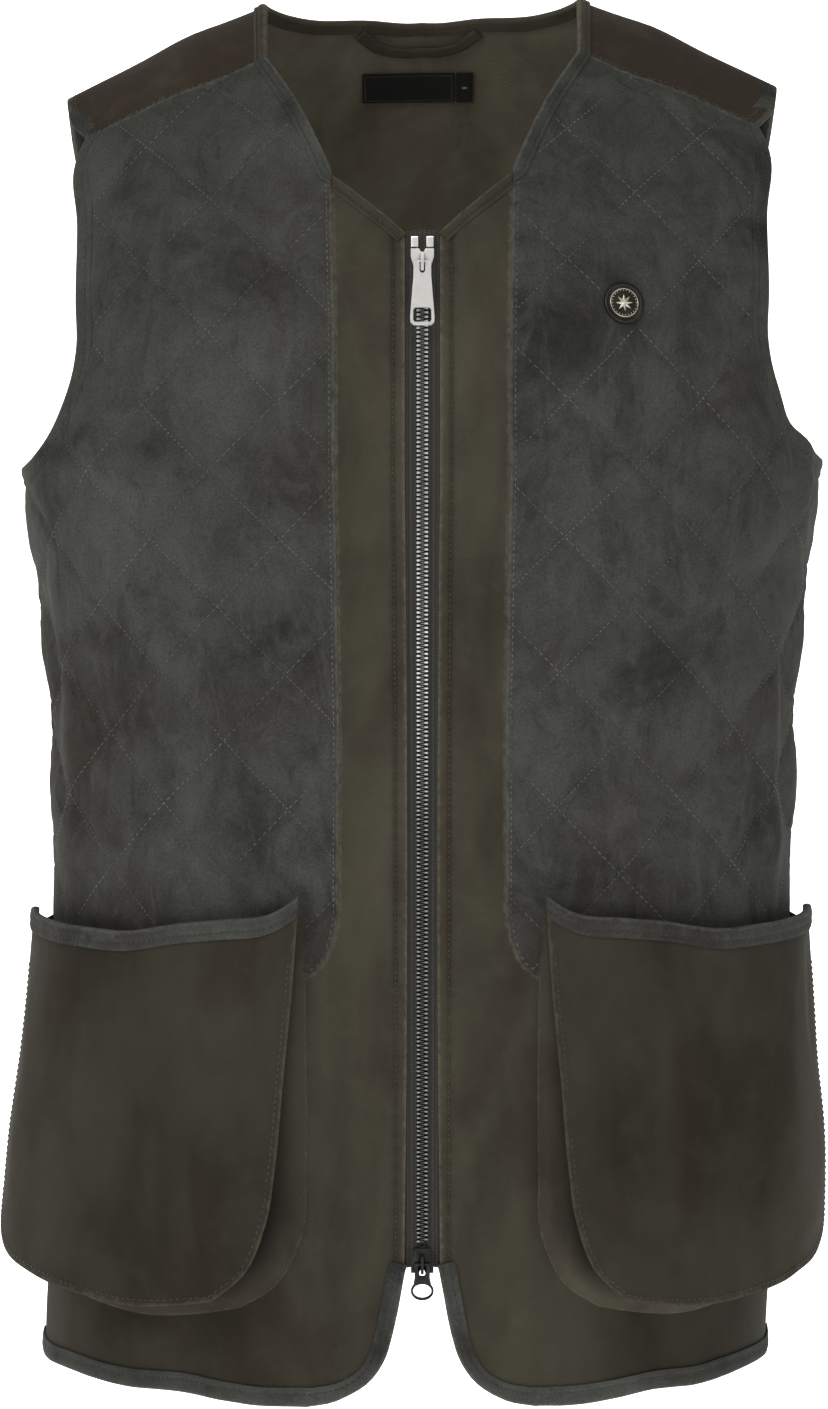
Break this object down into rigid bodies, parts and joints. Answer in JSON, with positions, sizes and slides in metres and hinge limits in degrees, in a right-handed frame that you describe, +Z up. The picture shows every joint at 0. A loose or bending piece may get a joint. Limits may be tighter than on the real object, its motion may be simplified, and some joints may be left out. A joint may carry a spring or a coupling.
{
  "type": "hunting vest",
  "caption": "Sleeveless quilted suede and cotton vest in its worn shape, hollow, with a two-way front zip, bound edges and a bellows pocket on each side.",
  "frame": {"origin": "middle of the shoulders between the highest points of the neck, where the wearer carries the vest", "axes": "+Z up, the front faces -Y, +X to the wearer's left"},
  "size_m": [0.4368, 0.2653, 0.7217],
  "materials": {
    "suede": "quilted suede, dark grey-green, matt",
    "cotton": "brown olive cotton twill, matt, washed at the edges",
    "tape": "woven zip tape",
    "steel": "bright, lightly worn",
    "dark_steel": "dark plated",
    "label": "black woven label"
  },
  "bodies": {
    "vest": {"armhole_binding_left": "suede", "armhole_binding_right": "suede", "back": "cotton", "chest_badge": "dark_steel", "front_olive_left": "cotton", "front_olive_right": "cotton", "front_suede_left": "suede", "front_suede_right": "suede", "hanger_loop": "cotton", "hem_binding": "suede", "neck_binding_back": "cotton", "neck_binding_left": "suede", "neck_binding_right": "suede", "neck_edge_left": "cotton", "neck_edge_right": "cotton", "neck_label": "label", "pocket_band_left": "suede", "pocket_band_right": "suede", "pocket_face_left": "cotton", "pocket_face_right": "cotton", "pocket_gusset_left": "cotton", "pocket_gusset_right": "cotton", "size_tab": "label", "zip_chain": "steel", "zip_slider_bottom": "dark_steel", "zip_slider_top": "steel", "zip_stop_left": "steel", "zip_stop_right": "steel", "zip_tape_left": "tape", "zip_tape_right": "tape"},
    "top_pull": {"zip_pull_top": "steel"},
    "bottom_pull": {"zip_pull_bottom": "dark_steel"}
  },
  "joints": [
    {"name": "top_pull_hinge", "type": "hinge", "parent": "vest", "child": "top_pull", "pos_m": [-0.00002, -0.12429, -0.13033], "axis": [-1, 0, 0], "range_deg": [0, 160]},
    {"name": "bottom_pull_hinge", "type": "hinge", "parent": "vest", "child": "bottom_pull", "pos_m": [0, -0.1258, -0.64129], "axis": [-1, 0, 0], "range_deg": [0, 160]}
  ]
}
